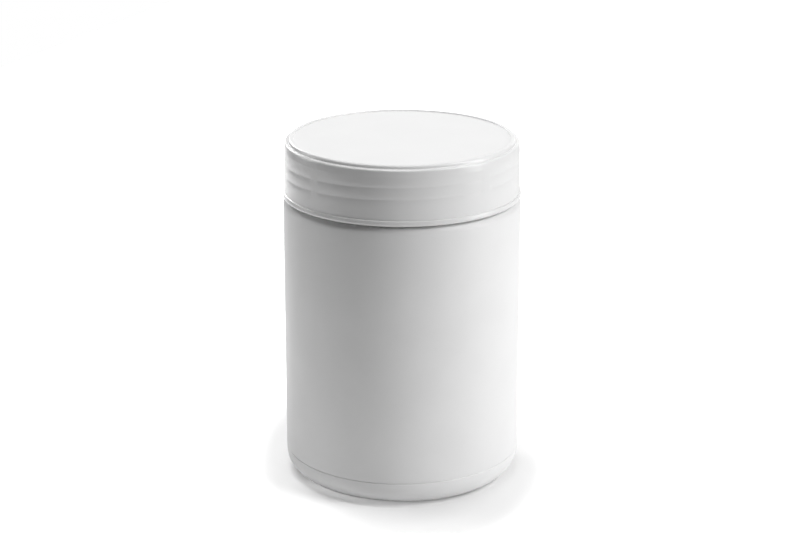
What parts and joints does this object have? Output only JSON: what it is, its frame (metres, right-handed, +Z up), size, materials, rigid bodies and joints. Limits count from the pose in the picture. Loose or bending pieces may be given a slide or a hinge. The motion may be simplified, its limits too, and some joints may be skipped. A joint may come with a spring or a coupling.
{
  "type": "wide-mouth screw-lid jar",
  "caption": "Straight-sided opaque white wide-mouth jar with a flush screw lid, real mating threads and a sealing liner; opens by unscrewing.",
  "frame": {"origin": "centre of the base, on the surface that the jar stands on", "axes": "+Z up along the jar's axis; -Y is the side that faces the camera"},
  "size_m": [0.1042, 0.1042, 0.153],
  "materials": {
    "jar_plastic": "satin blow-moulded white polyethylene",
    "lid_plastic": "satin injection-moulded white plastic, slightly glossier than the jar",
    "liner_foam": "fine-celled foam sheet"
  },
  "bodies": {
    "jar": {"jar": "jar_plastic"},
    "liner": {"liner": "liner_foam"},
    "lid": {"lid": "lid_plastic"}
  },
  "joints": [
    {"name": "lid_rise", "type": "slide", "parent": "jar", "child": "liner", "axis": [0, 0, 1], "range_m": [0, 0.026]},
    {"name": "lid_turn", "type": "hinge", "parent": "liner", "child": "lid", "pos_m": [0, 0, 0.14], "axis": [0, 0, 1], "range_deg": [0, 1800]}
  ],
  "couplings": [
    {"joint": "lid_rise", "follows": "lid_turn", "m_per_rad": 0.00082761}
  ]
}
